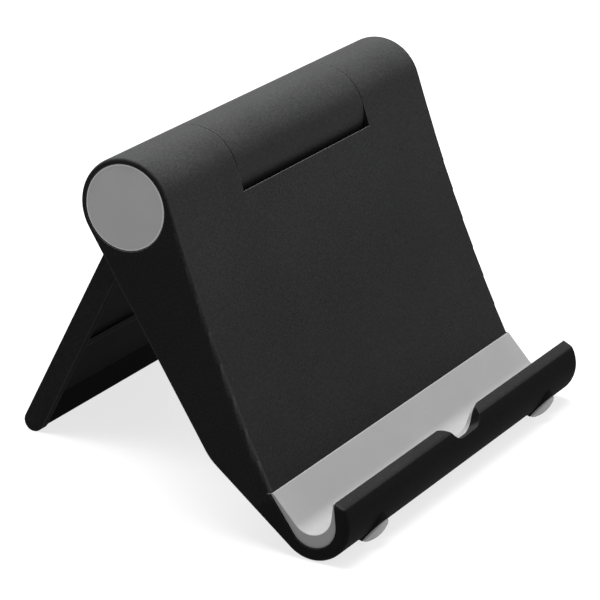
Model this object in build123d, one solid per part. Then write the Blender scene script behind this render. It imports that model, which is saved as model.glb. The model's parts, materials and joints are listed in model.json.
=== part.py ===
"""Folding phone stand: a wedge-shaped cradle with a central rear leg on a friction hinge.

Every piece is drawn in its own folded position, with the hinge axis on the X axis and
the length running down -Z.  The cradle leans forward and the leg swings back until the
front feet and the leg tip stand on one floor, and the assembly is then centred.
"""
from build123d import *
from math import acos, atan2, cos, degrees, hypot, radians, sin, tan
import os

# ---------------------------------------------------------------- overall sizes (mm, deg)
WIDTH = 100.0                 # length of the barrel
BARREL_R = 9.0                # radius of the hinge barrel
CRADLE_TILT = 34.2            # lean of the cradle back from upright
FRONT_SLOPE = 13.5            # slope of the front face where it leaves the barrel
REAR_TAPER = 18.3             # slope of the lower back towards the trough

# trough at the lower end of the cradle
TROUGH_Y = -4.3
TROUGH_Z = -64.0
TROUGH_OUTER_R = 7.0
BED_R = 4.6                   # radius of the bed that holds the liner
LIP_FLARE = 26.0              # outward lean of the lip
LIP_TOP_Z = -62.3
LIP_ROUND = 1.6               # round between the sloped lip top and the outside
SEAT_Y = 0.55                 # front face where the liner starts
SEAT_Z = -56.2
SEAT_STEP = 0.2               # sinking of the bed below the front face

# silicone liner
LINER_END_GAP = 0.3
LINER_PROUD = 0.35
LINER_R = 4.0                 # inner round of the seat
LINER_Y = -4.9
LINER_Z = -62.2
LINER_BACK_SLOPE = 14.0
LINER_LIP_SLOPE = 40.0

# cable notch in the lip
NOTCH_HALF = 9.4
NOTCH_FLAT = 2.4              # half width of its flat bottom
NOTCH_BOTTOM_Z = -66.1
NOTCH_BACK_Y = -5.0
NOTCH_LEAD = 0.05             # the shoulders run out just above the lip

# walls and ribs of the cradle
WALL = 2.4
INNER_WALL = 2.0
RIB = 1.6
SIDE_RIBS = 2
POCKET_END_Z = -54.5
RIB_LEVELS = (-23.0, -39.0)
BEND_ROUND = 10.0
EDGE_ROUND = 0.9
REAR_RIB_INSET = 0.6

# bay for the folded leg
BAY_HALF = 25.1
BAY_FLOOR_Y = 2.9
BAY_RIBS = 5
CUTOUT_Z = -7.0               # lower edge of the window in front of the leg knuckle
KNUCKLE_SWING_R = 9.5

# leg
LEG_HALF = 24.8
LEG_THICK = 4.2
LEG_LENGTH = 66.3
LEG_SKIN = 1.8
LEG_CHEEK = 2.0
LEG_RAMP = 3.8                # length of the sloped foot rim inside the tray
LEG_SETBACK = 0.5             # the foot rim ends short of the cheeks
LEG_RIB_Z = -47.5
LEG_RIB_HEIGHT = 0.6
LEG_ROOT_ROUND = 2.0
CORE_R = 6.6                  # cored-out cells of the leg knuckle
POCKETS = 4
POCKET_WEB = 1.6
POCKET_SLOT = 8.0

# hinge hardware
CHAMBER_R = 4.9               # bore of the outer knuckles
KEY_WIDTH = 2.4
KEY_HEIGHT = 1.0
PIN_R = 2.0
PIN_HALF = 46.2
PIN_CHAMFER = 0.4
PIN_CLEARANCE = 0.4           # around the pin where a piece does not guide it
BUSH_R = 3.5
BUSH_LENGTH = 5.0
RUNNING_GAP = 0.05
RING_R = 5.6
RING_THICK = 2.1
RING_SEAT = 2.0
DISC_FACE = 0.1               # free play between the friction faces
DISC_THICK = 3.0
SLIDE_GAP = 0.1
SPRING_R = 3.7
SPRING_WIRE = 1.2
SPRING_TURNS = 5.0
SPRING_LENGTH = 15.0
WASHER_R = 4.7
WASHER_THICK = 1.0
NUT_R = 3.8
NUT_THICK = 1.2

# end caps
CAP_R = 7.9
CAP_THICK = 1.8
CAP_SINK = 0.15
CAP_SKIRT_R = 4.8
CAP_SKIRT_WALL = 1.0
CAP_SKIRT_DEPTH = 2.5
CAP_GAP = 0.05
CAP_EDGE_ROUND = 0.2

# silicone feet
FOOT_X = 36.3
FOOT_TURN = 17.5              # the feet face down and a little to the front
FOOT_R = 2.9
FOOT_RIM_OUT = 0.75           # height of the foot rim above the round of the trough
FOOT_OUT = 1.55               # height of the top of the dome
FOOT_SOCKET = 1.0
FOOT_SEAT_OUT = 0.3
FOOT_SEAT_RIM = 0.25
FOOT_SEAT_FLARE = 0.7


# ---------------------------------------------------------------- helpers
def polar(centre, radius, angle):
    """Point at an angle (degrees, anticlockwise from +Y) around a centre in the side view."""
    return (centre[0] + radius * cos(radians(angle)), centre[1] + radius * sin(radians(angle)))


def side_slab(face, x_low, x_high):
    """Solid made by pushing a side-view face from one X to another."""
    return Pos(X=x_low) * extrude(Plane.YZ * face, amount=x_high - x_low)


def rod(radius, x_low, x_high):
    """Round bar on the hinge axis."""
    return side_slab(Circle(radius), x_low, x_high)


def block(x_low, x_high, y_low, y_high, z_low, z_high):
    """Rectangular block given by its limits."""
    size = (x_high - x_low, y_high - y_low, z_high - z_low)
    centre = ((x_high + x_low) / 2, (y_high + y_low) / 2, (z_high + z_low) / 2)
    return Pos(*centre) * Box(*size)


def at_side(part, side):
    """A piece drawn for the +X side, mirrored when it belongs to the -X side."""
    return part if side > 0 else mirror(part, about=Plane.YZ)


# ---------------------------------------------------------------- side-view geometry
TROUGH = (TROUGH_Y, TROUGH_Z)
TAPER_POINT = polar(TROUGH, TROUGH_OUTER_R, -REAR_TAPER)
BEND_Z = TAPER_POINT[1] + (BARREL_R - TAPER_POINT[0]) / tan(radians(REAR_TAPER))
FRONT_TOP = polar((0, 0), BARREL_R, 180 + FRONT_SLOPE)
BED_BACK = polar(TROUGH, BED_R, 0)
BED_LIP = polar(TROUGH, BED_R, 180 + LIP_FLARE)
LIP_RUN = (LIP_TOP_Z - BED_LIP[1]) * tan(radians(LIP_FLARE))
LIP_INNER = (BED_LIP[0] - LIP_RUN, LIP_TOP_Z)
LIP_OUTER = polar(TROUGH, TROUGH_OUTER_R, 180)


def front_curve(offset):
    """Concave front face, moved inwards by an offset."""
    direction = (sin(radians(FRONT_SLOPE)), -cos(radians(FRONT_SLOPE)))
    start = (FRONT_TOP[0] - offset * direction[1], FRONT_TOP[1] + offset * direction[0])
    return TangentArc(start, (SEAT_Y + offset, SEAT_Z), tangent=direction)


def cradle_outline():
    """Side view of the cradle before the trough is cut: barrel, wedge and lip."""
    lines = Curve() + [
        front_curve(0),
        ThreePointArc(FRONT_TOP, (0, BARREL_R), (BARREL_R, 0)),
        Line((BARREL_R, 0), (BARREL_R, BEND_Z)),
        Line((BARREL_R, BEND_Z), TAPER_POINT),
        ThreePointArc(TAPER_POINT, polar(TROUGH, TROUGH_OUTER_R, -90), LIP_OUTER),
        Line(LIP_OUTER, LIP_INNER),
        Line(LIP_INNER, (SEAT_Y, SEAT_Z)),
    ]
    outline = make_face(lines)
    bend = outline.vertices().sort_by_distance((BARREL_R, BEND_Z))[0]
    outline = fillet(bend, BEND_ROUND)
    lip_edge = outline.vertices().sort_by_distance(LIP_OUTER)[0]
    return fillet(lip_edge, LIP_ROUND)


def bed_outline():
    """Side view of the bed cut into the lower end for the liner and the device."""
    lines = Curve() + [
        Line(LIP_INNER, BED_LIP),
        ThreePointArc(BED_LIP, polar(TROUGH, BED_R, -90), BED_BACK),
        Line(BED_BACK, (SEAT_Y + SEAT_STEP, SEAT_Z)),
        Line((SEAT_Y + SEAT_STEP, SEAT_Z), (LIP_INNER[0], SEAT_Z)),
        Line((LIP_INNER[0], SEAT_Z), LIP_INNER),
    ]
    return make_face(lines)


def pocket_outline():
    """Side view of the hollow behind the front wall, open at the back."""
    front = front_curve(WALL)
    start = front @ 0
    end = front @ 1
    far = BARREL_R + WALL
    back = Polyline(
        (end.X, end.Y), (end.X, POCKET_END_Z), (far, POCKET_END_Z), (far, start.Y), (start.X, start.Y)
    )
    hollow = make_face(Curve() + [front, back])
    hollow = hollow & Pos(0, POCKET_END_Z / 2) * Rectangle(4 * BARREL_R, -POCKET_END_Z)
    return hollow - Circle(BARREL_R)


def liner_outline():
    """Side view of the silicone liner, thick at the bottom and thin at both ends."""
    centre = (LINER_Y, LINER_Z)
    back_low = polar(centre, LINER_R, -LINER_BACK_SLOPE)
    lip_low = polar(centre, LINER_R, 180 + LINER_LIP_SLOPE)
    top = (SEAT_Y - LINER_PROUD, SEAT_Z)
    lip_end = (LIP_INNER[0] + LINER_PROUD, LIP_TOP_Z)
    lines = Curve() + [
        Line((SEAT_Y + SEAT_STEP, SEAT_Z), top),
        Line(top, back_low),
        ThreePointArc(back_low, polar(centre, LINER_R, -90), lip_low),
        Line(lip_low, lip_end),
        Line(lip_end, LIP_INNER),
        Line(LIP_INNER, BED_LIP),
        ThreePointArc(BED_LIP, polar(TROUGH, BED_R, -90), BED_BACK),
        Line(BED_BACK, (SEAT_Y + SEAT_STEP, SEAT_Z)),
    ]
    return make_face(lines)


def leg_outline(length):
    """Side view of the leg: knuckle barrel with a plate tangent to its back."""
    tip_r = LEG_THICK / 2
    tip_z = tip_r - length
    plate_y = BARREL_R - tip_r
    plate = Pos(plate_y, tip_z / 2) * Rectangle(LEG_THICK, -tip_z)
    profile = Circle(BARREL_R) + plate + Pos(plate_y, tip_z) * Circle(tip_r)
    inner_y = BARREL_R - LEG_THICK
    corner_z = -(BARREL_R**2 - inner_y**2) ** 0.5
    corner = profile.vertices().sort_by_distance((inner_y, corner_z))[0]
    return fillet(corner, LEG_ROOT_ROUND)


# ---------------------------------------------------------------- cradle pieces
def cable_notch():
    """Cutter for the bell-shaped cable notch in the lip."""
    top = LIP_TOP_Z + NOTCH_LEAD
    high = LIP_TOP_Z + WALL
    turn = ((NOTCH_HALF + NOTCH_FLAT) / 2, (top + NOTCH_BOTTOM_Z) / 2)
    shoulder = TangentArc((NOTCH_HALF, top), turn, tangent=(-1, 0))
    corner = TangentArc((NOTCH_FLAT, NOTCH_BOTTOM_Z), turn, tangent=(1, 0))
    half = make_face(
        Curve()
        + [
            shoulder,
            corner,
            Polyline((NOTCH_FLAT, NOTCH_BOTTOM_Z), (0, NOTCH_BOTTOM_Z), (0, high)),
            Polyline((0, high), (NOTCH_HALF, high), (NOTCH_HALF, top)),
        ]
    )
    depth = NOTCH_BACK_Y - (TROUGH_Y - 2 * TROUGH_OUTER_R)
    face = Plane.XZ * (half + mirror(half, about=Plane.YZ))
    return Pos(Y=NOTCH_BACK_Y) * extrude(face, amount=depth)


def side_pockets():
    """Hollow cells behind the front wall on both sides of the leg bay."""
    outer = WIDTH / 2 - WALL
    inner = BAY_HALF + INNER_WALL
    cells = side_slab(pocket_outline(), inner, outer)
    pitch = (outer - inner) / (SIDE_RIBS + 1)
    top = BARREL_R - REAR_RIB_INSET
    for index in range(SIDE_RIBS):
        x = inner + pitch * (index + 1)
        cells -= block(x - RIB / 2, x + RIB / 2, -BARREL_R, top, POCKET_END_Z, 0)
    for level in RIB_LEVELS:
        cells -= block(inner, outer, -BARREL_R, top, level - RIB / 2, level + RIB / 2)
    return cells + mirror(cells, about=Plane.YZ)


def leg_bay():
    """Room for the folded leg and its knuckle in the middle of the cradle."""
    room = block(-BAY_HALF, BAY_HALF, BAY_FLOOR_Y, 2 * BARREL_R, TROUGH_Z - BED_R, 0)
    room += block(-BAY_HALF, BAY_HALF, -2 * BARREL_R, 2 * BARREL_R, CUTOUT_Z, 2 * BARREL_R)
    return room + rod(KNUCKLE_SWING_R, -BAY_HALF, BAY_HALF)


def bay_cells():
    """Hollow cells between the ribs under the floor of the leg bay."""
    cells = side_slab(pocket_outline(), -BAY_HALF, BAY_HALF)
    pitch = 2 * BAY_HALF / (BAY_RIBS + 1)
    for index in range(BAY_RIBS):
        x = -BAY_HALF + pitch * (index + 1)
        cells -= block(x - RIB / 2, x + RIB / 2, -BARREL_R, BAY_FLOOR_Y, POCKET_END_Z, 0)
    for level in RIB_LEVELS:
        cells -= block(
            -BAY_HALF, BAY_HALF, -BARREL_R, BAY_FLOOR_Y, level - RIB / 2, level + RIB / 2
        )
    return cells


def knuckle_bores():
    """Cap recess, spring chamber and key slots in one outer knuckle, for the +X side."""
    end = WIDTH / 2
    cap_floor = end - CAP_SINK - CAP_THICK
    bore = rod(CAP_R + CAP_GAP, cap_floor, end + WALL)
    bore += rod(CHAMBER_R, BAY_HALF - WALL, cap_floor)
    key_end = BAY_HALF + 2 * DISC_THICK
    reach = CHAMBER_R + KEY_HEIGHT
    return bore + block(
        BAY_HALF - WALL, key_end, -reach, reach, -KEY_WIDTH / 2, KEY_WIDTH / 2
    )


def on_trough(piece):
    """Place a piece drawn pointing down -Z from the middle of the trough round, +X side."""
    return Pos(FOOT_X, TROUGH_Y, TROUGH_Z) * Rot(X=-FOOT_TURN) * piece


def foot_seat():
    """Raised conical seat for one silicone foot, for the +X side."""
    inner = BED_R + INNER_WALL / 2
    outer = TROUGH_OUTER_R + FOOT_SEAT_OUT
    rim = FOOT_R + FOOT_SEAT_RIM
    height = outer - inner
    cone = Cone(rim, rim + FOOT_SEAT_FLARE, height, align=(Align.CENTER, Align.CENTER, Align.MIN))
    return on_trough(Pos(Z=-outer) * cone)


def foot_socket():
    """Blind hole that holds one silicone foot, for the +X side."""
    depth = FOOT_SOCKET + FOOT_OUT
    hole = Cylinder(FOOT_R, depth, align=(Align.CENTER, Align.CENTER, Align.MAX))
    return on_trough(Pos(Z=FOOT_SOCKET - TROUGH_OUTER_R) * hole)


def rounded_edges(body):
    """Outline edges of both end faces that carry the soft edge round."""
    closing = ((LIP_INNER[0] + SEAT_Y) / 2, (LIP_TOP_Z + SEAT_Z) / 2)
    chosen = ShapeList()
    for face in (body.faces().sort_by(Axis.X)[0], body.faces().sort_by(Axis.X)[-1]):
        for edge in face.edges():
            middle = edge @ 0.5
            if hypot(middle.Y - closing[0], middle.Z - closing[1]) > EDGE_ROUND:
                chosen.append(edge)
    return chosen


def cradle_shell():
    """Main moulding: front wall, cheeks, outer knuckles, trough and lip."""
    body = side_slab(cradle_outline(), -WIDTH / 2, WIDTH / 2)
    body = fillet(rounded_edges(body), EDGE_ROUND)
    body -= side_slab(bed_outline(), -WIDTH, WIDTH)
    for side in (-1, 1):
        body += at_side(foot_seat(), side)
    body -= side_pockets()
    body -= leg_bay()
    body -= bay_cells()
    body -= cable_notch()
    for side in (-1, 1):
        body -= at_side(knuckle_bores(), side)
        body -= at_side(foot_socket(), side)
    return body


def trough_liner():
    """Grey silicone liner lying in the trough."""
    half = WIDTH / 2 - LINER_END_GAP
    return side_slab(liner_outline(), -half, half) - cable_notch()


def front_foot():
    """Domed silicone foot pressed into the round of the trough, for the +X side."""
    rise = FOOT_OUT - FOOT_RIM_OUT
    dome_r = (FOOT_R**2 + rise**2) / (2 * rise)
    depth = FOOT_SOCKET + FOOT_OUT
    stud = Cylinder(FOOT_R, depth, align=(Align.CENTER, Align.CENTER, Align.MAX))
    stud = Pos(Z=FOOT_SOCKET - TROUGH_OUTER_R) * stud
    dome = Pos(Z=dome_r - TROUGH_OUTER_R - FOOT_OUT) * Sphere(dome_r)
    return on_trough(stud & dome)


def end_cap():
    """Grey disc closing the barrel, with a skirt that grips the chamber, for the +X side."""
    outer = WIDTH / 2 - CAP_SINK
    plate = rod(CAP_R, outer - CAP_THICK, outer)
    plate = fillet(plate.edges().group_by(Axis.X)[-1], CAP_EDGE_ROUND)
    skirt_low = outer - CAP_THICK - CAP_SKIRT_DEPTH
    skirt = rod(CAP_SKIRT_R, skirt_low, outer - CAP_THICK)
    return plate + skirt - rod(CAP_SKIRT_R - CAP_SKIRT_WALL, skirt_low, outer - CAP_THICK)


# ---------------------------------------------------------------- hinge pieces
def hinge_pin():
    """Steel pin through all knuckles."""
    pin = rod(PIN_R, -PIN_HALF, PIN_HALF)
    return chamfer(pin.edges().filter_by(GeomType.CIRCLE), PIN_CHAMFER)


def friction_disc():
    """Keyed disc that slides in the outer knuckle and rubs on the leg, for the +X side."""
    face = LEG_HALF + RING_THICK - RING_SEAT + DISC_FACE
    disc = rod(CHAMBER_R - SLIDE_GAP, face, face + DISC_THICK)
    reach = CHAMBER_R + KEY_HEIGHT - SLIDE_GAP
    half = KEY_WIDTH / 2 - SLIDE_GAP
    low = BAY_HALF + SLIDE_GAP
    disc += block(low, face + DISC_THICK, -reach, reach, -half, half)
    return disc - rod(PIN_R + RUNNING_GAP, face, face + DISC_THICK)


def spring_start():
    """X of the inner end of the spring on the +X side."""
    return LEG_HALF + RING_THICK - RING_SEAT + DISC_FACE + DISC_THICK


def hinge_spring():
    """Coil spring pressing the friction disc against the leg, for the +X side."""
    run = SPRING_LENGTH - SPRING_WIRE
    path = Helix(pitch=run / SPRING_TURNS, height=run, radius=SPRING_R)
    wire = sweep(Plane(path @ 0, z_dir=path % 0) * Circle(SPRING_WIRE / 2), path=path)
    start = spring_start() + SPRING_WIRE / 2
    return Pos(X=start) * Rot(Y=90) * wire


def spring_washer():
    """Flat washer behind the spring, for the +X side."""
    low = spring_start() + SPRING_LENGTH
    return rod(WASHER_R, low, low + WASHER_THICK) - rod(PIN_R + RUNNING_GAP, low, low + WASHER_THICK)


def push_nut():
    """Push-on nut that holds washer and spring on the pin, for the +X side."""
    low = spring_start() + SPRING_LENGTH + WASHER_THICK
    nut = rod(NUT_R, low, low + NUT_THICK)
    nut = chamfer(nut.edges().group_by(Axis.X)[-1], NUT_THICK / 2)
    return nut - rod(PIN_R, low, low + NUT_THICK)


def wear_ring():
    """Plastic ring in the end of the leg knuckle that the friction disc rubs on, +X side."""
    low = LEG_HALF - RING_SEAT
    return rod(RING_R, low, low + RING_THICK) - rod(PIN_R + PIN_CLEARANCE, low, low + RING_THICK)


def pivot_bush():
    """Plain bush that carries the leg on the pin, for the +X side."""
    high = LEG_HALF - RING_SEAT
    low = high - BUSH_LENGTH
    return rod(BUSH_R, low, high) - rod(PIN_R + RUNNING_GAP, low, high)


# ---------------------------------------------------------------- leg
def knuckle_cores():
    """Cored-out cells in the middle of the leg knuckle, open towards the plate side."""
    reach = LEG_HALF - RING_SEAT - BUSH_LENGTH
    cell = (2 * reach - (POCKETS - 1) * POCKET_WEB) / POCKETS
    cores = Part()
    for index in range(POCKETS):
        low = -reach + index * (cell + POCKET_WEB)
        cores += rod(CORE_R, low, low + cell)
        cores += block(
            low, low + cell, -POCKET_SLOT / 2, POCKET_SLOT / 2, -2 * BARREL_R, 0
        ) & rod(KNUCKLE_SWING_R, low, low + cell)
    return cores


def leg_tray():
    """Shallow recess in the inner face of the leg, with a slope up to the foot rim."""
    floor_y = BARREL_R - LEG_SKIN
    rim_y = BARREL_R - LEG_THICK
    open_y = rim_y - LEG_SKIN
    low = -LEG_LENGTH + LEG_THICK / 2
    outline = Polyline(
        (open_y, -BARREL_R),
        (floor_y, -BARREL_R),
        (floor_y, low + LEG_RAMP),
        (rim_y, low),
        (open_y, low),
        (open_y, -BARREL_R),
    )
    half = LEG_HALF - LEG_CHEEK
    tray = side_slab(make_face(outline), -half, half)
    rib_top = floor_y - LEG_RIB_HEIGHT
    tray -= block(-half, half, rib_top, floor_y, LEG_RIB_Z - RIB / 2, LEG_RIB_Z + RIB / 2)
    return tray


def leg_shell():
    """Leg moulding: central knuckle, back skin, cheeks and foot rim."""
    half = LEG_HALF - LEG_CHEEK
    body = side_slab(leg_outline(LEG_LENGTH - LEG_SETBACK), -LEG_HALF, LEG_HALF)
    for side in (-1, 1):
        cheek = side_slab(leg_outline(LEG_LENGTH), half, LEG_HALF)
        body += at_side(cheek, side)
    body -= leg_tray()
    body -= knuckle_cores()
    for side in (-1, 1):
        seat = rod(RING_R, LEG_HALF - RING_SEAT, LEG_HALF + RING_SEAT)
        seat += rod(BUSH_R, LEG_HALF - RING_SEAT - BUSH_LENGTH, LEG_HALF)
        body -= at_side(seat, side)
    body -= rod(PIN_R + PIN_CLEARANCE, -LEG_HALF, LEG_HALF)
    return body


# ---------------------------------------------------------------- assembly
def hinge_height():
    """Height of the hinge axis above the floor, set by the back rim of the front feet."""
    rim = polar(TROUGH, TROUGH_OUTER_R + FOOT_RIM_OUT, -90 - FOOT_TURN)
    rim = polar(rim, FOOT_R, -FOOT_TURN)
    tilt = radians(CRADLE_TILT)
    return rim[0] * sin(tilt) - rim[1] * cos(tilt)


def leg_angle():
    """Swing of the leg from upright that puts its tip on the floor."""
    tip_r = LEG_THICK / 2
    tip_y = BARREL_R - tip_r
    tip_z = LEG_LENGTH - tip_r
    reach = hypot(tip_y, tip_z)
    return degrees(acos((hinge_height() - tip_r) / reach)) - degrees(atan2(tip_y, tip_z))


def named_pieces():
    """All pieces in the standing pose around the hinge axis, by node name."""
    cradle = {"cradle_shell": cradle_shell(), "trough_liner": trough_liner()}
    cradle["hinge_pin"] = hinge_pin()
    leg = {"leg_shell": leg_shell()}
    for side, word in ((-1, "left"), (1, "right")):
        cradle["front_foot_" + word] = at_side(front_foot(), side)
        cradle["end_cap_" + word] = at_side(end_cap(), side)
        cradle["friction_disc_" + word] = at_side(friction_disc(), side)
        cradle["hinge_spring_" + word] = at_side(hinge_spring(), side)
        cradle["spring_washer_" + word] = at_side(spring_washer(), side)
        cradle["push_nut_" + word] = at_side(push_nut(), side)
        leg["wear_ring_" + word] = at_side(wear_ring(), side)
        leg["pivot_bush_" + word] = at_side(pivot_bush(), side)
    placed = {name: Rot(X=-CRADLE_TILT) * piece for name, piece in cradle.items()}
    placed.update({name: Rot(X=leg_angle()) * piece for name, piece in leg.items()})
    return placed


def main():
    """Centre the assembly on its footprint and write one STEP file per piece."""
    pieces = named_pieces()
    boxes = [piece.bounding_box() for piece in pieces.values()]
    middle_y = (min(box.min.Y for box in boxes) + max(box.max.Y for box in boxes)) / 2
    place = Pos(0, -middle_y, hinge_height())
    os.makedirs("parts", exist_ok=True)
    for name, piece in pieces.items():
        piece = place * piece
        piece.label = name
        export_step(piece, os.path.join("parts", name + ".step"))
    print("hinge axis at y", round(-middle_y, 4), "z", round(hinge_height(), 4))
    print("leg angle", round(leg_angle(), 4))


main()
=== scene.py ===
"""Looks of the folding phone stand: moulded plastic, silicone liner and feet, hinge steel, studio."""

import json
import math

import bmesh
import bpy
from mathutils import Matrix, Vector


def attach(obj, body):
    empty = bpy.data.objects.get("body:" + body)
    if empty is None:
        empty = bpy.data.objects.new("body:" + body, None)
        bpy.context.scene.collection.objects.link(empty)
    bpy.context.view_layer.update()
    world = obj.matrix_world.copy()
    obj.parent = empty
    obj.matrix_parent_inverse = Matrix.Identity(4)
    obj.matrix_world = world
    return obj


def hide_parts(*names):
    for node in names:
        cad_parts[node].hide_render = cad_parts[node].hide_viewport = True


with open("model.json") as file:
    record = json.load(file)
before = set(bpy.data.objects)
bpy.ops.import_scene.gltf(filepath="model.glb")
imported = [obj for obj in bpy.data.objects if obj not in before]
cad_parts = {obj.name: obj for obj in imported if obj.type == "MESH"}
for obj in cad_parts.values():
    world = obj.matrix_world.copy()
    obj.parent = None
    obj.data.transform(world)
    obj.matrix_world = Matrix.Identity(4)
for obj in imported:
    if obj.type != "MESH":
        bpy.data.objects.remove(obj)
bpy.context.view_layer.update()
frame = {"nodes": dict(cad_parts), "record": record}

MM = 0.001
HINGE = Vector(frame["record"]["behaviour"]["joints"][0]["pos_m"])
CRADLE_TILT = 34.2               # lean of the cradle at rest, degrees
LEG_LEAN = 24.61                 # lean of the leg from the upright at rest, degrees
ACROSS = (1.0, 0.0, 0.0)         # along the hinge axis
BACK = (0.0, 1.0, 0.0)
UP = (0.0, 0.0, 1.0)

# camera: aim point relative to the hinge, then distance, angles in degrees and focal length in mm
AIM = Vector((-4.83, -12.24, -27.79)) * MM
DISTANCE = 650.15 * MM
AZIMUTH = -63.12
ELEVATION = 19.509
ROLL = 2.670
LENS = 209.26


# ---------------------------------------------------------------- small helpers
def plate_point(x, y, z):
    """Shared-frame point (m) of a cradle point in mm: y back and z up from the hinge, cradle upright."""
    turn = Matrix.Rotation(math.radians(-CRADLE_TILT), 3, "X")
    return HINGE + turn @ Vector((x, y, z)) * MM


def polar(centre, radius, angle):
    """Point at a distance and an angle in degrees from a centre."""
    return (
        centre[0] + radius * math.cos(math.radians(angle)),
        centre[1] + radius * math.sin(math.radians(angle)),
    )


def arc(centre, radius, start, end, count):
    """Points along an arc, both ends included."""
    return [polar(centre, radius, start + (end - start) * i / count) for i in range(count + 1)]


def line(a, b, count):
    """Points along a straight run, both ends included."""
    return [
        (a[0] + (b[0] - a[0]) * i / count, a[1] + (b[1] - a[1]) * i / count)
        for i in range(count + 1)
    ]


def new_object(name, mesh_bm, material):
    """Smooth-shaded object made from a bmesh, which is freed."""
    mesh = bpy.data.meshes.new(name)
    bmesh.ops.recalc_face_normals(mesh_bm, faces=mesh_bm.faces)
    mesh_bm.to_mesh(mesh)
    mesh_bm.free()
    for polygon in mesh.polygons:
        polygon.use_smooth = True
    obj = bpy.data.objects.new(name, mesh)
    bpy.context.collection.objects.link(obj)
    mesh.materials.append(material)
    return obj


def soft_edges(obj, width):
    """Small rounds on the sharp edges of a piece, with clean shading on the flats."""
    bevel = obj.modifiers.new("edge_round", "BEVEL")
    bevel.width = width
    bevel.segments = 3
    bevel.limit_method = "ANGLE"
    bevel.angle_limit = math.radians(40.0)
    bevel.harden_normals = True


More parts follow.
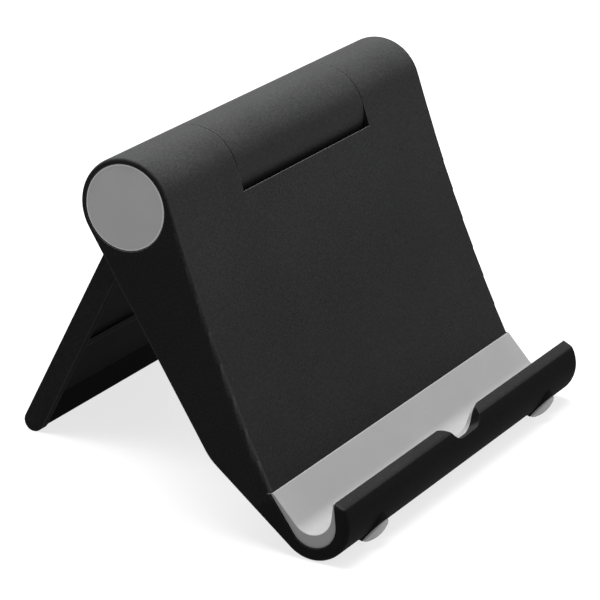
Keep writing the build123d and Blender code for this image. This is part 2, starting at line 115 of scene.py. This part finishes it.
# ---------------------------------------------------------------- materials
class Finish:
    """A node material on one Principled shader."""

    def __init__(self, name):
        self.material = bpy.data.materials.new(name)
        self.material.use_nodes = True
        self.tree = self.material.node_tree
        self.shader = self.tree.nodes["Principled BSDF"]
        self.coords = self.tree.nodes.new("ShaderNodeTexCoord")

    def node(self, kind, **settings):
        made = self.tree.nodes.new(kind)
        for key, value in settings.items():
            setattr(made, key, value)
        return made

    def link(self, source, target):
        self.tree.links.new(source, target)

    def put(self, socket, value):
        if isinstance(value, bpy.types.NodeSocket):
            self.link(value, socket)
        else:
            socket.default_value = value

    def constant(self, **values):
        for key, value in values.items():
            self.shader.inputs[key.replace("_", " ")].default_value = value

    def noise(self, scale, detail=2.0, roughness=0.5, stretch=None):
        texture = self.node("ShaderNodeTexNoise")
        texture.inputs["Scale"].default_value = scale
        texture.inputs["Detail"].default_value = detail
        texture.inputs["Roughness"].default_value = roughness
        source = self.coords.outputs["Object"]
        if stretch:
            mapping = self.node("ShaderNodeMapping")
            mapping.inputs["Scale"].default_value = stretch
            self.link(source, mapping.inputs["Vector"])
            source = mapping.outputs["Vector"]
        self.link(source, texture.inputs["Vector"])
        return texture.outputs["Fac"]

    def math(self, operation, a, b=0.0, clamp=False):
        made = self.node("ShaderNodeMath", operation=operation, use_clamp=clamp)
        self.put(made.inputs[0], a)
        self.put(made.inputs[1], b)
        return made.outputs[0]

    def fade(self, value, low, high, out_low=0.0, out_high=1.0):
        """A smooth step of a value between two limits."""
        made = self.node("ShaderNodeMapRange", interpolation_type="SMOOTHSTEP")
        self.put(made.inputs["Value"], value)
        made.inputs["From Min"].default_value = low
        made.inputs["From Max"].default_value = high
        made.inputs["To Min"].default_value = out_low
        made.inputs["To Max"].default_value = out_high
        return made.outputs["Result"]

    def mix(self, fac, a, b):
        made = self.node("ShaderNodeMix", data_type="RGBA")
        self.put(made.inputs["Factor"], fac)
        self.put(made.inputs["A"], a)
        self.put(made.inputs["B"], b)
        return made.outputs["Result"]

    def lighten(self, colour, factor):
        """Colour multiplied by a grey factor that may vary over the surface."""
        made = self.node("ShaderNodeVectorMath", operation="SCALE")
        self.put(made.inputs[0], colour if isinstance(colour, bpy.types.NodeSocket) else colour[:3])
        self.put(made.inputs["Scale"], factor)
        return made.outputs[0]

    def along(self, vector, axis):
        """Part of a vector along one direction."""
        made = self.node("ShaderNodeVectorMath", operation="DOT_PRODUCT")
        self.link(vector, made.inputs[0])
        made.inputs[1].default_value = axis
        return made.outputs["Value"]

    def normal_axis(self, axis):
        """How far the surface faces along one direction, -1 to 1, in the piece's own frame."""
        return self.along(self.coords.outputs["Normal"], axis)

    def from_hinge(self):
        """Position (m) relative to the hinge axis, in the piece's own frame."""
        made = self.node("ShaderNodeVectorMath", operation="SUBTRACT")
        self.link(self.coords.outputs["Object"], made.inputs[0])
        made.inputs[1].default_value = HINGE
        return made.outputs["Vector"]

    def hinge_distance(self):
        """Distance (m) from the hinge axis."""
        flat = self.node("ShaderNodeVectorMath", operation="MULTIPLY")
        self.link(self.from_hinge(), flat.inputs[0])
        flat.inputs[1].default_value = (0.0, 1.0, 1.0)    # leaves out the part along the axis
        made = self.node("ShaderNodeVectorMath", operation="LENGTH")
        self.link(flat.outputs["Vector"], made.inputs[0])
        return made.outputs["Value"]

    def cradle_height(self):
        """Height (m) along the cradle from the hinge axis, negative towards the trough."""
        tilt = math.radians(CRADLE_TILT)
        return self.along(self.from_hinge(), (0.0, math.sin(tilt), math.cos(tilt)))

    def edge(self, radius):
        """(rounded normal, edge mask, the normal in the piece's own frame) on sharp edges."""
        bevel = self.node("ShaderNodeBevel", samples=6)
        bevel.inputs["Radius"].default_value = radius
        geometry = self.node("ShaderNodeNewGeometry")
        dot = self.node("ShaderNodeVectorMath", operation="DOT_PRODUCT")
        self.link(bevel.outputs["Normal"], dot.inputs[0])
        self.link(geometry.outputs["Normal"], dot.inputs[1])
        mask = self.fade(dot.outputs["Value"], 0.998, 0.86)
        turned = self.node(
            "ShaderNodeVectorTransform", vector_type="NORMAL", convert_from="WORLD", convert_to="OBJECT"
        )
        self.link(bevel.outputs["Normal"], turned.inputs["Vector"])
        return bevel.outputs["Normal"], mask, turned.outputs["Vector"]

    def bump(self, height, distance, strength=1.0, normal=None):
        made = self.node("ShaderNodeBump")
        self.put(made.inputs["Strength"], strength)
        made.inputs["Distance"].default_value = distance
        self.link(height, made.inputs["Height"])
        if normal is not None:
            self.link(normal, made.inputs["Normal"])
        return made.outputs["Normal"]


def grey(level, warm=0.0):
    """Grey of a linear level; above 0 warm tints it to red, below 0 to blue."""
    return (level * (1 + warm), level, level * (1 - warm), 1.0)


# linear grey levels
TEXTURED = 0.0125                # spark-eroded outside of the cradle and leg
POLISHED = 0.0056                # cheeks and underside of the cradle
POLISHED_TROUGH = 0.0036         # outside of the trough and lip
# leg's tray: smooth black, partly darkened with painted shade under the cradle
LEG_TRAY_SHADED = 0.0018
LEG_SIDES = 0.0060
ROUND_HIGHLIGHT = 0.032                     # painted highlight on the rounds between the front and the cheeks
# painted highlights on sharp edges, plain and where the edge faces up or back
EDGE_HIGHLIGHT = 0.06
EDGE_HIGHLIGHT_LIT = 0.15
CAP_GREY = 0.194
CAP_RIM_HIGHLIGHT = 0.40
LINER_GREY = 0.233
FOOT_GREY = 0.25
FLOOR_GREY = 0.22

TROUGH_START = -57.0 * MM        # cradle height under which the trough begins
TROUGH_BLEND = 1.0 * MM


def outside_with_painted_light(finish):
    """Textured colour with painted light: lighter towards the top of the front and most of all on the
    up-facing barrel.
    """
    near_barrel = finish.fade(finish.hinge_distance(), 12.5 * MM, 9.3 * MM)
    facing_up = finish.fade(finish.normal_axis(UP), 0.36, 0.82, 0.0, 0.90)
    upper_front = finish.fade(finish.cradle_height(), -32 * MM, -10 * MM, 1.0, 1.26)
    painted_light_factor = finish.math("ADD", finish.math("MULTIPLY", near_barrel, facing_up), upper_front)
    return finish.lighten(grey(TEXTURED, -0.01), painted_light_factor)


def rounds_painted_highlight(finish, textured):
    """1 on the rounds that turn from an outer face to a cheek, where they are textured: a painted
    highlight.
    """
    turning = finish.math("ABSOLUTE", finish.normal_axis(ACROSS))
    turn = finish.math("MULTIPLY", finish.fade(turning, 0.06, 0.3), finish.fade(turning, 0.62, 0.4))
    return finish.math("MULTIPLY", turn, finish.math("MULTIPLY", textured, 0.5))


def painted_edge_highlights(finish, colour, edges, facing):
    """Painted highlights: thin lighter lines on sharp edges above the trough, strongest where they face
    up or back.
    """
    above = finish.fade(
        finish.cradle_height(), TROUGH_START - TROUGH_BLEND, TROUGH_START + TROUGH_BLEND
    )
    plain = finish.math("MULTIPLY", edges, finish.fade(above, 0, 1, 0.2, 0.6))
    colour = finish.mix(plain, colour, grey(EDGE_HIGHLIGHT))
    lit = finish.math(
        "MAXIMUM",
        finish.fade(finish.along(facing, UP), 0.50, 0.80),
        finish.fade(finish.along(facing, BACK), 0.15, 0.50),
    )
    lit = finish.math("MULTIPLY", finish.math("MULTIPLY", lit, above), edges)
    return finish.mix(lit, colour, grey(EDGE_HIGHLIGHT_LIT))


def moulded_black(name, smooth_zone):
    """Black moulded plastic: spark-eroded grain outside, smooth and darker in the smooth zone."""
    finish = Finish(name)
    smooth, smooth_colour = smooth_zone(finish)
    textured = finish.math("SUBTRACT", 1.0, smooth)
    rounded, edges, edge_facing = finish.edge(0.22 * MM)
    grain = finish.noise(2600.0, detail=3.0, roughness=0.6)
    coarse = finish.noise(900.0, detail=2.0, roughness=0.5)
    cloud = finish.noise(45.0, detail=3.0, roughness=0.55)

    # the textured colour carries painted light on the barrel top and the upper front
    colour = finish.mix(smooth, outside_with_painted_light(finish), smooth_colour)
    speckle = finish.fade(grain, 0.30, 0.72, 0.70, 1.34)
    patch = finish.fade(cloud, 0.30, 0.70, 0.90, 1.10)
    colour = finish.lighten(colour, finish.math("MULTIPLY", speckle, patch))
    # painted highlight on the rounds between the front and the cheeks
    colour = finish.mix(rounds_painted_highlight(finish, textured), colour, grey(ROUND_HIGHLIGHT))
    # painted highlights on the sharp edges
    colour = painted_edge_highlights(finish, colour, edges, edge_facing)
    finish.link(colour, finish.shader.inputs["Base Color"])

    rough = finish.fade(cloud, 0.3, 0.7, 0.56, 0.62)
    rough = finish.math("ADD", rough, finish.math("MULTIPLY", smooth, 0.30))
    finish.link(rough, finish.shader.inputs["Roughness"])

    relief = finish.math("ADD", grain, finish.math("MULTIPLY", coarse, 0.6))
    strength = finish.math("ADD", finish.math("MULTIPLY", textured, 0.42), 0.08)
    normal = finish.bump(relief, 0.045 * MM, strength, rounded)
    finish.link(normal, finish.shader.inputs["Normal"])
    finish.constant(Specular_IOR_Level=0.05)
    return finish.material


def side_faces(finish):
    """1 on the cheeks and other faces square to the hinge axis."""
    facing = finish.math("ABSOLUTE", finish.normal_axis(ACROSS))
    return finish.fade(facing, 0.55, 0.97)


def cradle_smooth(finish):
    """(mask, colour) of the cheeks, underside and outside of the trough, polished in the mould."""
    facing_up = finish.normal_axis(UP)
    under = finish.fade(facing_up, 0.30, 0.02)
    trough = finish.fade(
        finish.cradle_height(), TROUGH_START + TROUGH_BLEND / 2, TROUGH_START - TROUGH_BLEND
    )
    trough = finish.math("MULTIPLY", trough, finish.fade(facing_up, 0.74, 0.62))
    mask = finish.math("MAXIMUM", side_faces(finish), finish.math("MAXIMUM", under, trough))
    return mask, finish.mix(trough, grey(POLISHED, -0.01), grey(POLISHED_TROUGH, -0.01))


def leg_smooth(finish):
    """(mask, colour) of the cheeks of the leg and of its tray, which faces the cradle; the tray's colour
    is smooth black darkened with painted shade.
    """
    lean = math.radians(LEG_LEAN)
    outward = finish.normal_axis((0.0, math.cos(lean), math.sin(lean)))
    below_knuckle = finish.fade(finish.hinge_distance(), 9.3 * MM, 9.9 * MM)
    tray = finish.math("MULTIPLY", finish.fade(outward, -0.45, -0.85), below_knuckle)
    sides = side_faces(finish)
    return finish.math("MAXIMUM", sides, tray), finish.mix(sides, grey(LEG_TRAY_SHADED), grey(LEG_SIDES))


def satin_grey(name):
    """Smooth painted end caps with a very fine orange peel and a painted highlight on the rim."""
    finish = Finish(name)
    rounded = finish.edge(0.12 * MM)[0]
    peel = finish.noise(1500.0, detail=1.5)
    cloud = finish.noise(120.0, detail=3.0)
    colour = finish.lighten(grey(CAP_GREY), finish.fade(cloud, 0.3, 0.7, 0.97, 1.03))
    # painted highlight: the rim is lighter by its distance from the hinge axis
    rim = finish.fade(finish.hinge_distance(), 7.52 * MM, 7.70 * MM, 0.0, 0.8)
    colour = finish.mix(rim, colour, grey(CAP_RIM_HIGHLIGHT))
    finish.link(colour, finish.shader.inputs["Base Color"])
    finish.link(finish.fade(cloud, 0.3, 0.7, 0.36, 0.42), finish.shader.inputs["Roughness"])
    finish.link(finish.bump(peel, 0.01 * MM, 0.25, rounded), finish.shader.inputs["Normal"])
    finish.constant(Specular_IOR_Level=0.35)
    return finish.material


def silicone(name, level, end_painted_shade=1.0):
    """Matte grey silicone rubber with a faint moulded haze and dust; faces square to the hinge axis may
    be darker with painted shade.
    """
    finish = Finish(name)
    haze = finish.noise(80.0, detail=4.0, roughness=0.6)
    fine = finish.noise(3200.0, detail=2.0)
    dust = finish.noise(700.0, detail=5.0, roughness=0.7)
    shade = finish.math(
        "MULTIPLY",
        finish.fade(haze, 0.3, 0.7, 0.975, 1.025),
        finish.fade(dust, 0.55, 0.78, 1.0, 1.06),
    )
    # painted shade on the faces square to the hinge axis
    facing_end = finish.math("ABSOLUTE", finish.normal_axis(ACROSS))
    shade = finish.math("MULTIPLY", shade, finish.fade(facing_end, 0.5, 0.95, 1.0, end_painted_shade))
    finish.link(finish.lighten(grey(level), shade), finish.shader.inputs["Base Color"])
    finish.link(finish.fade(haze, 0.3, 0.7, 0.58, 0.68), finish.shader.inputs["Roughness"])
    finish.link(finish.bump(fine, 0.012 * MM, 0.3), finish.shader.inputs["Normal"])
    finish.constant(
        Specular_IOR_Level=0.3,
        Subsurface_Weight=0.08,
        Subsurface_Radius=(0.8 * MM, 0.8 * MM, 0.8 * MM),
        Subsurface_Scale=0.3 * MM,
    )
    return finish.material


def drawn_steel(name, level, roughness):
    """Steel with drawing lines along or around the hinge axis and a thin film of grease."""
    finish = Finish(name)
    lines = finish.noise(900.0, detail=3.0, stretch=(0.08, 1.0, 1.0))
    film = finish.noise(220.0, detail=3.0)
    colour = finish.lighten(grey(level, 0.01), finish.fade(film, 0.3, 0.7, 0.9, 1.08))
    finish.link(colour, finish.shader.inputs["Base Color"])
    finish.link(
        finish.fade(lines, 0.3, 0.7, roughness - 0.08, roughness + 0.08),
        finish.shader.inputs["Roughness"],
    )
    finish.link(finish.bump(lines, 0.01 * MM, 0.3), finish.shader.inputs["Normal"])
    finish.constant(Metallic=1.0, Anisotropic=0.3)
    return finish.material


def natural_acetal(name):
    """Milky natural acetal of the discs, rings and bushes, with turning rings and grease haze."""
    finish = Finish(name)
    rings = finish.noise(1400.0, detail=2.0, stretch=(1.0, 0.5, 0.5))
    haze = finish.noise(160.0, detail=3.0)
    colour = finish.lighten(grey(0.74, 0.02), finish.fade(haze, 0.3, 0.7, 0.94, 1.03))
    finish.link(colour, finish.shader.inputs["Base Color"])
    finish.link(finish.fade(haze, 0.3, 0.7, 0.30, 0.42), finish.shader.inputs["Roughness"])
    finish.link(finish.bump(rings, 0.01 * MM, 0.3), finish.shader.inputs["Normal"])
    finish.constant(
        Subsurface_Weight=0.15,
        Subsurface_Radius=(1.0 * MM, 1.0 * MM, 0.9 * MM),
        Subsurface_Scale=0.5 * MM,
    )
    return finish.material


# ---------------------------------------------------------------- silicone liner
# mm and degrees on the upright cradle, (y, z) from the hinge; the bed is the CAD's own
SEAT = (0.55, -56.2)             # where the liner starts on the front face
SEAT_PROUD = 0.35                # how far the liner stands in front of the seat
SEAT_DEPTH = 0.18                # how far its back lies behind the seat
TROUGH = (-4.3, -64.0)
BED_R = 4.6
NOTCH_HALF = 9.4
NOTCH_FLAT = 2.4
NOTCH_BOTTOM = -66.1
LIP_TOP = -62.3
LIP_FLARE = 26.0
LIP_COVER = 0.35                 # liner thickness at the top of the lip
LINER_HALF = 49.7
LINER_ROUND = (-4.9, -62.2)      # centre of the visible round
LINER_R = 4.0
LINER_BACK_ANGLE = -14.0         # where the round starts, towards the seat
LINER_LIP_ANGLE = -140.0         # where it ends, towards the lip
LINER_EDGE_ROUND = 0.16
OUTSIDE_STATIONS = 10            # sections from an end to the notch
NOTCH_STATIONS = 22              # sections on one side of the notch
SECTION_POINTS = 44              # steps along each side of a section
ROUNDING = 1e-9                  # room for rounding where two heights are compared


def bed_lip_end():
    """Where the round of the bed ends at the lip."""
    return polar(TROUGH, BED_R, 180.0 + LIP_FLARE)


def lip_inner_y():
    """Distance back of the inside of the lip at its top."""
    start = bed_lip_end()
    return start[0] - (LIP_TOP - start[1]) * math.tan(math.radians(LIP_FLARE))


def liner_inner():
    """Visible side of the liner, from the front face down the seat and up the lip."""
    back = polar(LINER_ROUND, LINER_R, LINER_BACK_ANGLE)
    front = polar(LINER_ROUND, LINER_R, LINER_LIP_ANGLE)
    points = line((SEAT[0] - SEAT_PROUD, SEAT[1]), back, 8)
    points += arc(LINER_ROUND, LINER_R, LINER_BACK_ANGLE, LINER_LIP_ANGLE, 26)[1:]
    points += line(front, (lip_inner_y() + LIP_COVER, LIP_TOP), 12)[1:]
    return points


def liner_outer():
    """Hidden side of the liner that lies in the bed, run the same way."""
    points = line((SEAT[0] + SEAT_DEPTH, SEAT[1]), polar(TROUGH, BED_R, 0.0), 8)
    points += arc(TROUGH, BED_R, 0.0, LIP_FLARE - 180.0, 30)[1:]
    points += line(bed_lip_end(), (lip_inner_y(), LIP_TOP), 8)[1:]
    return points


def notch_height(x):
    """Upper edge of the lip at a distance from the middle: a bell of two tangent arcs."""
    reach = abs(x)
    if reach >= NOTCH_HALF:
        return LIP_TOP
    if reach <= NOTCH_FLAT:
        return NOTCH_BOTTOM
    run = (NOTCH_HALF - NOTCH_FLAT) / 2
    rise = (LIP_TOP - NOTCH_BOTTOM) / 2
    radius = (run * run + rise * rise) / (2 * rise)
    if reach < NOTCH_FLAT + run:
        step = reach - NOTCH_FLAT
        return NOTCH_BOTTOM + radius - math.sqrt(radius * radius - step * step)
    step = NOTCH_HALF - reach
    return LIP_TOP - radius + math.sqrt(radius * radius - step * step)


def cut_at(points, height):
    """The run of points up to where its lip side rises to a height."""
    lowest = min(range(len(points)), key=lambda i: points[i][1])
    kept = list(points[: lowest + 1])
    for a, b in zip(points[lowest:], points[lowest + 1 :]):
        if b[1] >= height - ROUNDING:
            share = (height - a[1]) / (b[1] - a[1]) if b[1] > a[1] else 0.0
            kept.append((a[0] + (b[0] - a[0]) * share, height))
            break
        kept.append(b)
    return kept


def resample(points, count):
    """Equal steps along a run of points."""
    lengths = [0.0]
    for a, b in zip(points, points[1:]):
        lengths.append(lengths[-1] + math.hypot(b[0] - a[0], b[1] - a[1]))
    made = []
    index = 0
    for step in range(count + 1):
        target = lengths[-1] * step / count
        while index < len(points) - 2 and lengths[index + 1] < target:
            index += 1
        span = lengths[index + 1] - lengths[index]
        share = (target - lengths[index]) / span if span > 0 else 0.0
        a, b = points[index], points[index + 1]
        made.append((a[0] + (b[0] - a[0]) * share, a[1] + (b[1] - a[1]) * share))
    return made


def liner_stations():
    """Distances along the trough where a section is drawn, closer together in the notch."""
    plain = LINER_HALF - NOTCH_HALF
    slope = NOTCH_HALF - NOTCH_FLAT
    outside = [LINER_HALF - plain * i / OUTSIDE_STATIONS for i in range(OUTSIDE_STATIONS)]
    inside = [
        NOTCH_FLAT + slope * (0.5 + 0.5 * math.cos(math.pi * i / NOTCH_STATIONS))
        for i in range(NOTCH_STATIONS + 1)
    ]
    half = outside + inside + [NOTCH_FLAT / 2]
    return [-x for x in half] + [0.0] + [x for x in reversed(half)]


def silicone_liner(material):
    """Liner with a closed section at each station, joined into one skin."""
    inner = liner_inner()
    outer = liner_outer()
    made = bmesh.new()
    rings = []
    for x in liner_stations():
        height = notch_height(x)
        top_run = resample(cut_at(inner, height), SECTION_POINTS)
        bed_run = resample(cut_at(outer, height), SECTION_POINTS)
        section = top_run + list(reversed(bed_run))
        rings.append([made.verts.new(plate_point(x, y, z)) for y, z in section])
    count = len(rings[0])
    for a, b in zip(rings, rings[1:]):
        for i in range(count):
            j = (i + 1) % count
            made.faces.new((a[i], a[j], b[j], b[i]))
    made.faces.new(rings[0])
    made.faces.new(list(reversed(rings[-1])))
    liner = new_object("silicone_liner", made, material)
    soft_edges(liner, LINER_EDGE_ROUND * MM)
    return liner


# ---------------------------------------------------------------- silicone feet
# mm and degrees; heights are measured out from the centre of the trough round
FOOT_X = 36.3
FOOT_TURN = 17.5                 # turn of the foot's axis from straight down, cradle upright
FOOT_R = 2.9
FOOT_RIM = 7.75
FOOT_TOP = 8.55
FOOT_BASE = 6.0
FOOT_CORNER = 0.22               # round between the side and the dome
FOOT_BASE_CORNER = 0.15
FOOT_SEGMENTS = 72
CORNER_STEPS = 4
DOME_STEPS = 12


def foot_profile():
    """Half section of a foot without its centre points, (radius, distance out)."""
    points = [(FOOT_R - FOOT_BASE_CORNER, FOOT_BASE), (FOOT_R, FOOT_BASE + FOOT_BASE_CORNER)]
    points += [(FOOT_R, FOOT_RIM - FOOT_CORNER * 1.2)]
    for i in range(CORNER_STEPS + 1):
        turn = math.radians(90.0 * i / CORNER_STEPS)
        radius = FOOT_R - FOOT_CORNER * (1 - math.cos(turn))
        points.append((radius, FOOT_RIM - FOOT_CORNER * (0.75 - 0.85 * math.sin(turn))))
    rise = FOOT_TOP - FOOT_RIM
    dome_r = (FOOT_R * FOOT_R + rise * rise) / (2 * rise)
    edge = math.degrees(math.asin(FOOT_R / dome_r))
    start = edge * (1 - 2.2 * FOOT_CORNER / FOOT_R)
    for i in range(DOME_STEPS):
        angle = math.radians(start * (1 - i / DOME_STEPS))
        points.append((dome_r * math.sin(angle), FOOT_TOP - dome_r * (1 - math.cos(angle))))
    return points


def silicone_foot(name, side, material):
    """Domed foot turned from its half section."""
    made = bmesh.new()
    turn = math.radians(FOOT_TURN)
    columns = []
    for s in range(FOOT_SEGMENTS):
        around = 2 * math.pi * s / FOOT_SEGMENTS
        column = []
        for radius, out in foot_profile():
            across = radius * math.cos(around)
            along = radius * math.sin(around)
            y = TROUGH[0] - out * math.sin(turn) + along * math.cos(turn)
            z = TROUGH[1] - out * math.cos(turn) - along * math.sin(turn)
            column.append(made.verts.new(plate_point(side * FOOT_X + across, y, z)))
        columns.append(column)
    for s in range(FOOT_SEGMENTS):
        a, b = columns[s], columns[(s + 1) % FOOT_SEGMENTS]
        for i in range(len(a) - 1):
            made.faces.new((a[i], a[i + 1], b[i + 1], b[i]))
    made.faces.new([column[0] for column in columns])
    y = TROUGH[0] - FOOT_TOP * math.sin(turn)
    z = TROUGH[1] - FOOT_TOP * math.cos(turn)
    peak = made.verts.new(plate_point(side * FOOT_X, y, z))
    for s in range(FOOT_SEGMENTS):
        made.faces.new((columns[s][-1], peak, columns[(s + 1) % FOOT_SEGMENTS][-1]))
    return new_object(name, made, material)


# ---------------------------------------------------------------- build the looks
def assign(material, *names):
    """Give a material to CAD pieces."""
    for name in names:
        node = frame["nodes"][name]
        node.data.materials.clear()
        node.data.materials.append(material)


assign(moulded_black("black_cradle", cradle_smooth), "cradle_shell")
assign(moulded_black("black_leg", leg_smooth), "leg_shell")
assign(satin_grey("grey_cap"), "end_cap_left", "end_cap_right")
pin_steel = drawn_steel("pin_steel", level=0.58, roughness=0.30)
spring_steel = drawn_steel("spring_steel", level=0.40, roughness=0.38)
acetal = natural_acetal("acetal")
liner_material = silicone("liner_silicone", LINER_GREY, end_painted_shade=0.68)
foot_material = silicone("foot_silicone", FOOT_GREY)
assign(pin_steel, "hinge_pin")
for word, side in (("left", -1), ("right", 1)):
    assign(pin_steel, "spring_washer_" + word)
    assign(spring_steel, "hinge_spring_" + word, "push_nut_" + word)
    assign(acetal, "friction_disc_" + word, "wear_ring_" + word, "pivot_bush_" + word)
    foot = silicone_foot("silicone_foot_" + word, side, foot_material)
    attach(foot, "cradle")
    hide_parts("front_foot_" + word)
liner = silicone_liner(liner_material)
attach(liner, "cradle")
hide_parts("trough_liner")


# ---------------------------------------------------------------- studio
FLOOR_HALF = 3.0
LIGHT_AIM = Vector((0.0, 0.0, 0.03))


def studio_floor():
    """Pale paper floor that glows a little, so the shadow stays faint."""
    made = bmesh.new()
    square = ((-1, -1), (1, -1), (1, 1), (-1, 1))
    made.faces.new([made.verts.new((x * FLOOR_HALF, y * FLOOR_HALF, 0.0)) for x, y in square])
    finish = Finish("floor_paper")
    fibre = finish.noise(60.0, detail=4.0)
    finish.link(
        finish.lighten(grey(FLOOR_GREY), finish.fade(fibre, 0.3, 0.7, 0.99, 1.01)),
        finish.shader.inputs["Base Color"],
    )
    finish.constant(
        Roughness=0.9,
        Specular_IOR_Level=0.1,
        Emission_Color=(1.0, 1.0, 1.0, 1.0),
        Emission_Strength=0.75,
    )
    floor = new_object("floor", made, finish.material)


def softbox(name, place, size, power):
    """Rectangular area light aimed at the object."""
    data = bpy.data.lights.new(name, "AREA")
    data.shape = "RECTANGLE"
    data.size = size[0]
    data.size_y = size[1]
    data.energy = power
    lamp = bpy.data.objects.new(name, data)
    bpy.context.collection.objects.link(lamp)
    lamp.location = place
    aim = LIGHT_AIM - Vector(place)
    lamp.rotation_euler = aim.to_track_quat("-Z", "Y").to_euler()


def studio_world():
    """Even white surroundings."""
    world = bpy.data.worlds.new("studio")
    world.use_nodes = True
    background = world.node_tree.nodes["Background"]
    background.inputs["Color"].default_value = (1.0, 1.0, 1.0, 1.0)
    background.inputs["Strength"].default_value = 0.62
    bpy.context.scene.world = world


def studio_camera():
    """Long-lens camera aimed near the hinge and turned a little about its view."""
    azimuth = math.radians(AZIMUTH)
    elevation = math.radians(ELEVATION)
    look = Vector(
        (
            -math.sin(azimuth) * math.cos(elevation),
            math.cos(azimuth) * math.cos(elevation),
            -math.sin(elevation),
        )
    )
    level = Vector((math.cos(azimuth), math.sin(azimuth), 0.0))
    upward = level.cross(look)
    roll = math.radians(ROLL)
    right = level * math.cos(roll) + upward * math.sin(roll)
    upward = right.cross(look)
    data = bpy.data.cameras.new("camera")
    data.lens = LENS
    data.sensor_width = 36.0
    data.clip_start = 0.05
    data.clip_end = 20.0
    camera = bpy.data.objects.new("camera", data)
    bpy.context.collection.objects.link(camera)
    turn = Matrix((right, upward, -look)).transposed().to_4x4()
    camera.matrix_world = Matrix.Translation(HINGE + AIM - look * DISTANCE) @ turn
    bpy.context.scene.camera = camera


studio_floor()
studio_world()
softbox("overhead", place=(0.1, 0.24, 1.1), size=(1.0, 0.9), power=33.0)
softbox("rim", place=(0.9, 0.50, 0.85), size=(0.9, 0.7), power=5.0)
studio_camera()
bpy.context.scene.view_settings.view_transform = "Standard"

bpy.context.view_layer.update()
